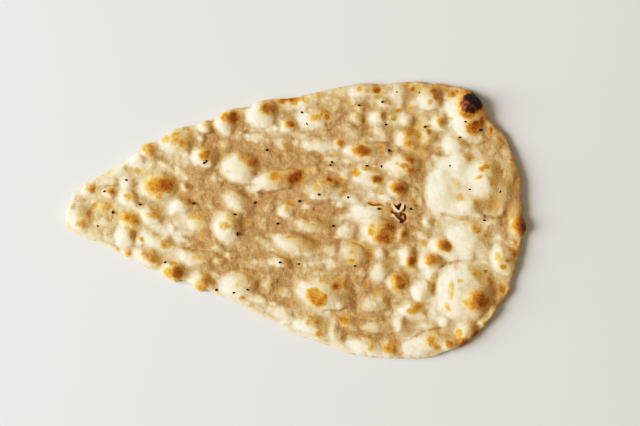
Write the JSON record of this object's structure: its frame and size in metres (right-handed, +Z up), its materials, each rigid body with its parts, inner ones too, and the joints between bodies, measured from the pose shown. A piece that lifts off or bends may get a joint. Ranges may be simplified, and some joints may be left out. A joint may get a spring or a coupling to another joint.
{
  "type": "naan bread",
  "caption": "Large teardrop flatbread with a puffed rim, raised browned blisters on top and a flat underside that it rests on.",
  "frame": {"origin": "middle of the bounding box at the level of the flat underside", "axes": "+X along the bread from its narrow tip to its wide end, +Y across it to the far side of the picture, +Z up out of the blistered top"},
  "size_m": [0.4624, 0.2784, 0.0178],
  "materials": {
    "bread": "matte baked dough, cream with golden brown blisters and a light sheen"
  },
  "bodies": {
    "root": {"naan": "bread"}
  },
  "joints": []
}
